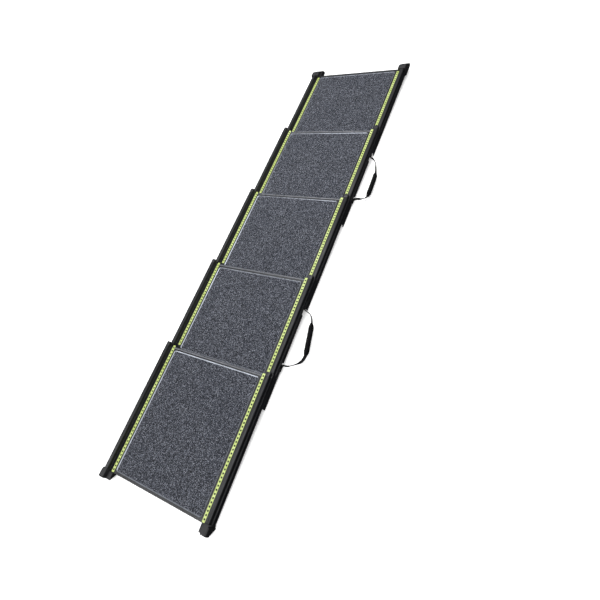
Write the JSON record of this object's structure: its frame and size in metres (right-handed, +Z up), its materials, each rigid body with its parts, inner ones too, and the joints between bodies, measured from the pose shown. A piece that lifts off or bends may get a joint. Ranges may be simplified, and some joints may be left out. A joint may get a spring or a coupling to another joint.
{
  "type": "telescoping dog ramp",
  "caption": "Telescoping pet ramp of nested ribbed decks with grip mats, glow strips, hooked side rails, rubber feet and two webbing carry handles.",
  "frame": {"origin": "centre of the bounding box's underside, on the ground the ramp rests on when pulled out", "axes": "+Y along the ramp from the ground end to the top end, +X to the side that carries the handles, +Z up; the sections slide along a line tilted about 2.8 degrees up towards +Y"},
  "size_m": [0.4964, 1.8558, 0.0558],
  "materials": {
    "rail_black": "black powder coat, satin",
    "deck_black": "moulded, fine texture",
    "grip_mat": "coarse speckled grip surface with a smooth grey rim",
    "glow_strip": "yellow-green glow plastic, perforated",
    "cap_black": "moulded black",
    "glide_grey": "smooth low-friction plastic",
    "foot_rubber": "matt moulded rubber",
    "webbing": "woven nylon webbing",
    "sleeve": "padded neoprene-like sleeve",
    "rivet": "black pop rivet"
  },
  "bodies": {
    "section_1": {"deck_1": "deck_black", "mat_1": "grip_mat", "rail_left_1": "rail_black", "rail_right_1": "rail_black", "strip_left_1": "glow_strip", "strip_right_1": "glow_strip", "plugs_1": "cap_black", "glides_1": "glide_grey", "foot_far_left": "foot_rubber", "foot_far_right": "foot_rubber"},
    "section_2": {"deck_2": "deck_black", "mat_2": "grip_mat", "rail_left_2": "rail_black", "rail_right_2": "rail_black", "strip_left_2": "glow_strip", "strip_right_2": "glow_strip", "plugs_2": "cap_black", "glides_2": "glide_grey", "handle_strap_2": "webbing", "handle_sleeve_2": "sleeve", "handle_rivets_2": "rivet"},
    "section_3": {"deck_3": "deck_black", "mat_3": "grip_mat", "rail_left_3": "rail_black", "rail_right_3": "rail_black", "strip_left_3": "glow_strip", "strip_right_3": "glow_strip", "plugs_3": "cap_black", "glides_3": "glide_grey"},
    "section_4": {"deck_4": "deck_black", "mat_4": "grip_mat", "rail_left_4": "rail_black", "rail_right_4": "rail_black", "strip_left_4": "glow_strip", "strip_right_4": "glow_strip", "plugs_4": "cap_black", "glides_4": "glide_grey", "handle_strap_4": "webbing", "handle_sleeve_4": "sleeve", "handle_rivets_4": "rivet"},
    "section_5": {"deck_5": "deck_black", "mat_5": "grip_mat", "rail_left_5": "rail_black", "rail_right_5": "rail_black", "strip_left_5": "glow_strip", "strip_right_5": "glow_strip", "plugs_5": "cap_black", "glides_5": "glide_grey", "foot_near_left": "foot_rubber", "foot_near_right": "foot_rubber"}
  },
  "joints": [
    {"name": "slide_1_2", "type": "slide", "parent": "section_1", "child": "section_2", "axis": [0, 0.9988, 0.048], "range_m": [0, 0.324]},
    {"name": "slide_2_3", "type": "slide", "parent": "section_2", "child": "section_3", "axis": [0, 0.9988, 0.048], "range_m": [0, 0.337]},
    {"name": "slide_3_4", "type": "slide", "parent": "section_3", "child": "section_4", "axis": [0, 0.9988, 0.048], "range_m": [0, 0.337]},
    {"name": "slide_4_5", "type": "slide", "parent": "section_4", "child": "section_5", "axis": [0, 0.9988, 0.048], "range_m": [0, 0.321]}
  ]
}
